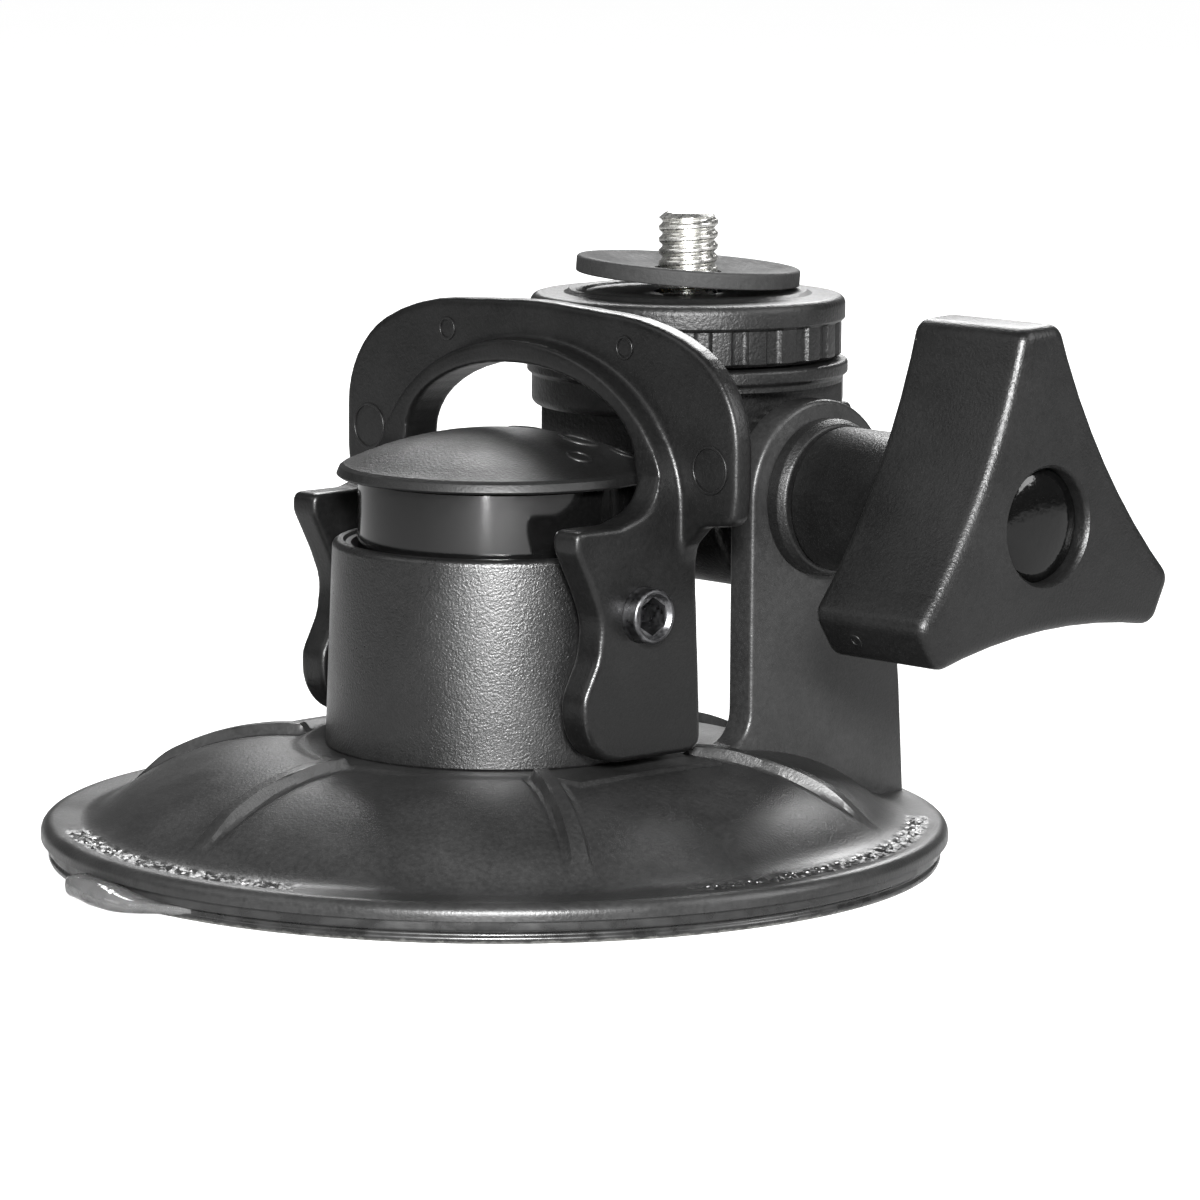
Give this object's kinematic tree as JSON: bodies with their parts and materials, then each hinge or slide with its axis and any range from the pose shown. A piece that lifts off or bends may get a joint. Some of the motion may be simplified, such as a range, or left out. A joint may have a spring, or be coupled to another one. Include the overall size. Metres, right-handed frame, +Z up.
{
  "type": "suction cup camera mount",
  "caption": "Suction-cup camera mount: domed base with a barrel, a cam lever that lifts the pad, and a tilting screw head clamped by a three-lobed knob.",
  "frame": {"origin": "centre of the suction cup's underside, on the plane it grips", "axes": "+Z up along the camera screw; +X along the lever's pin towards the clamp knob; +Y from the barrel towards the tilting head"},
  "size_m": [0.0985, 0.0991, 0.066],
  "materials": {
    "housing_plastic": "fine satin moulded ABS, black",
    "barrel_plastic": "coarse spark-eroded texture, black",
    "gloss_plastic": "polished black acetal",
    "cap_plastic": "satin black",
    "lever_plastic": "satin glass-filled nylon, black",
    "pad_urethane": "soft smoky polyurethane, slightly see-through",
    "head_plastic": "fine-grained black nylon",
    "knob_plastic": "fine-grained black ABS",
    "washer_rubber": "dull dark grey rubber",
    "bright_steel": "bright zinc-plated steel",
    "dark_steel": "black-oxide steel",
    "brass": "turned brass",
    "fibre": "fibre washer"
  },
  "bodies": {
    "base": {"housing": "housing_plastic", "barrel": "barrel_plastic", "suction_pad": "pad_urethane", "return_spring": "bright_steel"},
    "plunger": {"plunger": "gloss_plastic", "dome_cap": "cap_plastic", "cap_screw": "bright_steel", "pull_stem": "bright_steel", "stem_plate": "bright_steel", "pivot_bolt": "dark_steel", "pivot_nut": "dark_steel"},
    "lever": {"lever": "lever_plastic"},
    "tilt_head": {"tilt_block": "head_plastic", "camera_screw": "bright_steel", "tooth_ring": "head_plastic", "friction_washer": "fibre", "clamp_nut": "bright_steel"},
    "camera_pad": {"camera_pad": "washer_rubber"},
    "lock_wheel": {"lock_wheel": "head_plastic", "wheel_insert": "brass"},
    "thrust_collar": {"thrust_collar": "knob_plastic"},
    "knob": {"knob": "knob_plastic", "clamp_bolt": "dark_steel", "knob_plug": "gloss_plastic"}
  },
  "joints": [
    {"name": "plunger_slide", "type": "slide", "parent": "base", "child": "plunger", "axis": [0, 0, 1], "range_m": [-0.0032, 0], "deforming": ["return_spring", "suction_pad"]},
    {"name": "lever_turn", "type": "hinge", "parent": "plunger", "child": "lever", "pos_m": [0, 0, 0.0277], "axis": [1, 0, 0], "range_deg": [0, 90]},
    {"name": "tilt_turn", "type": "hinge", "parent": "base", "child": "tilt_head", "pos_m": [0, 0.029, 0.0371], "axis": [1, 0, 0], "range_deg": [-90, 5]},
    {"name": "pad_lift", "type": "slide", "parent": "tilt_head", "child": "camera_pad", "axis": [0, 0, 1], "range_m": [0, 0.00254]},
    {"name": "wheel_turn", "type": "hinge", "parent": "camera_pad", "child": "lock_wheel", "pos_m": [0, 0.0277, 0.054], "axis": [0, 0, 1], "range_deg": [0, 720]},
    {"name": "clamp_travel", "type": "slide", "parent": "base", "child": "thrust_collar", "axis": [1, 0, 0], "range_m": [0, 0.0015]},
    {"name": "knob_turn", "type": "hinge", "parent": "thrust_collar", "child": "knob", "pos_m": [0.043, 0.029, 0.0371], "axis": [1, 0, 0], "range_deg": [0, 540]}
  ],
  "couplings": [
    {"joint": "lever_turn", "follows": "plunger_slide", "rad_per_m": -490.86},
    {"joint": "wheel_turn", "follows": "pad_lift", "rad_per_m": 4947.3},
    {"joint": "knob_turn", "follows": "clamp_travel", "rad_per_m": 6283.1}
  ]
}
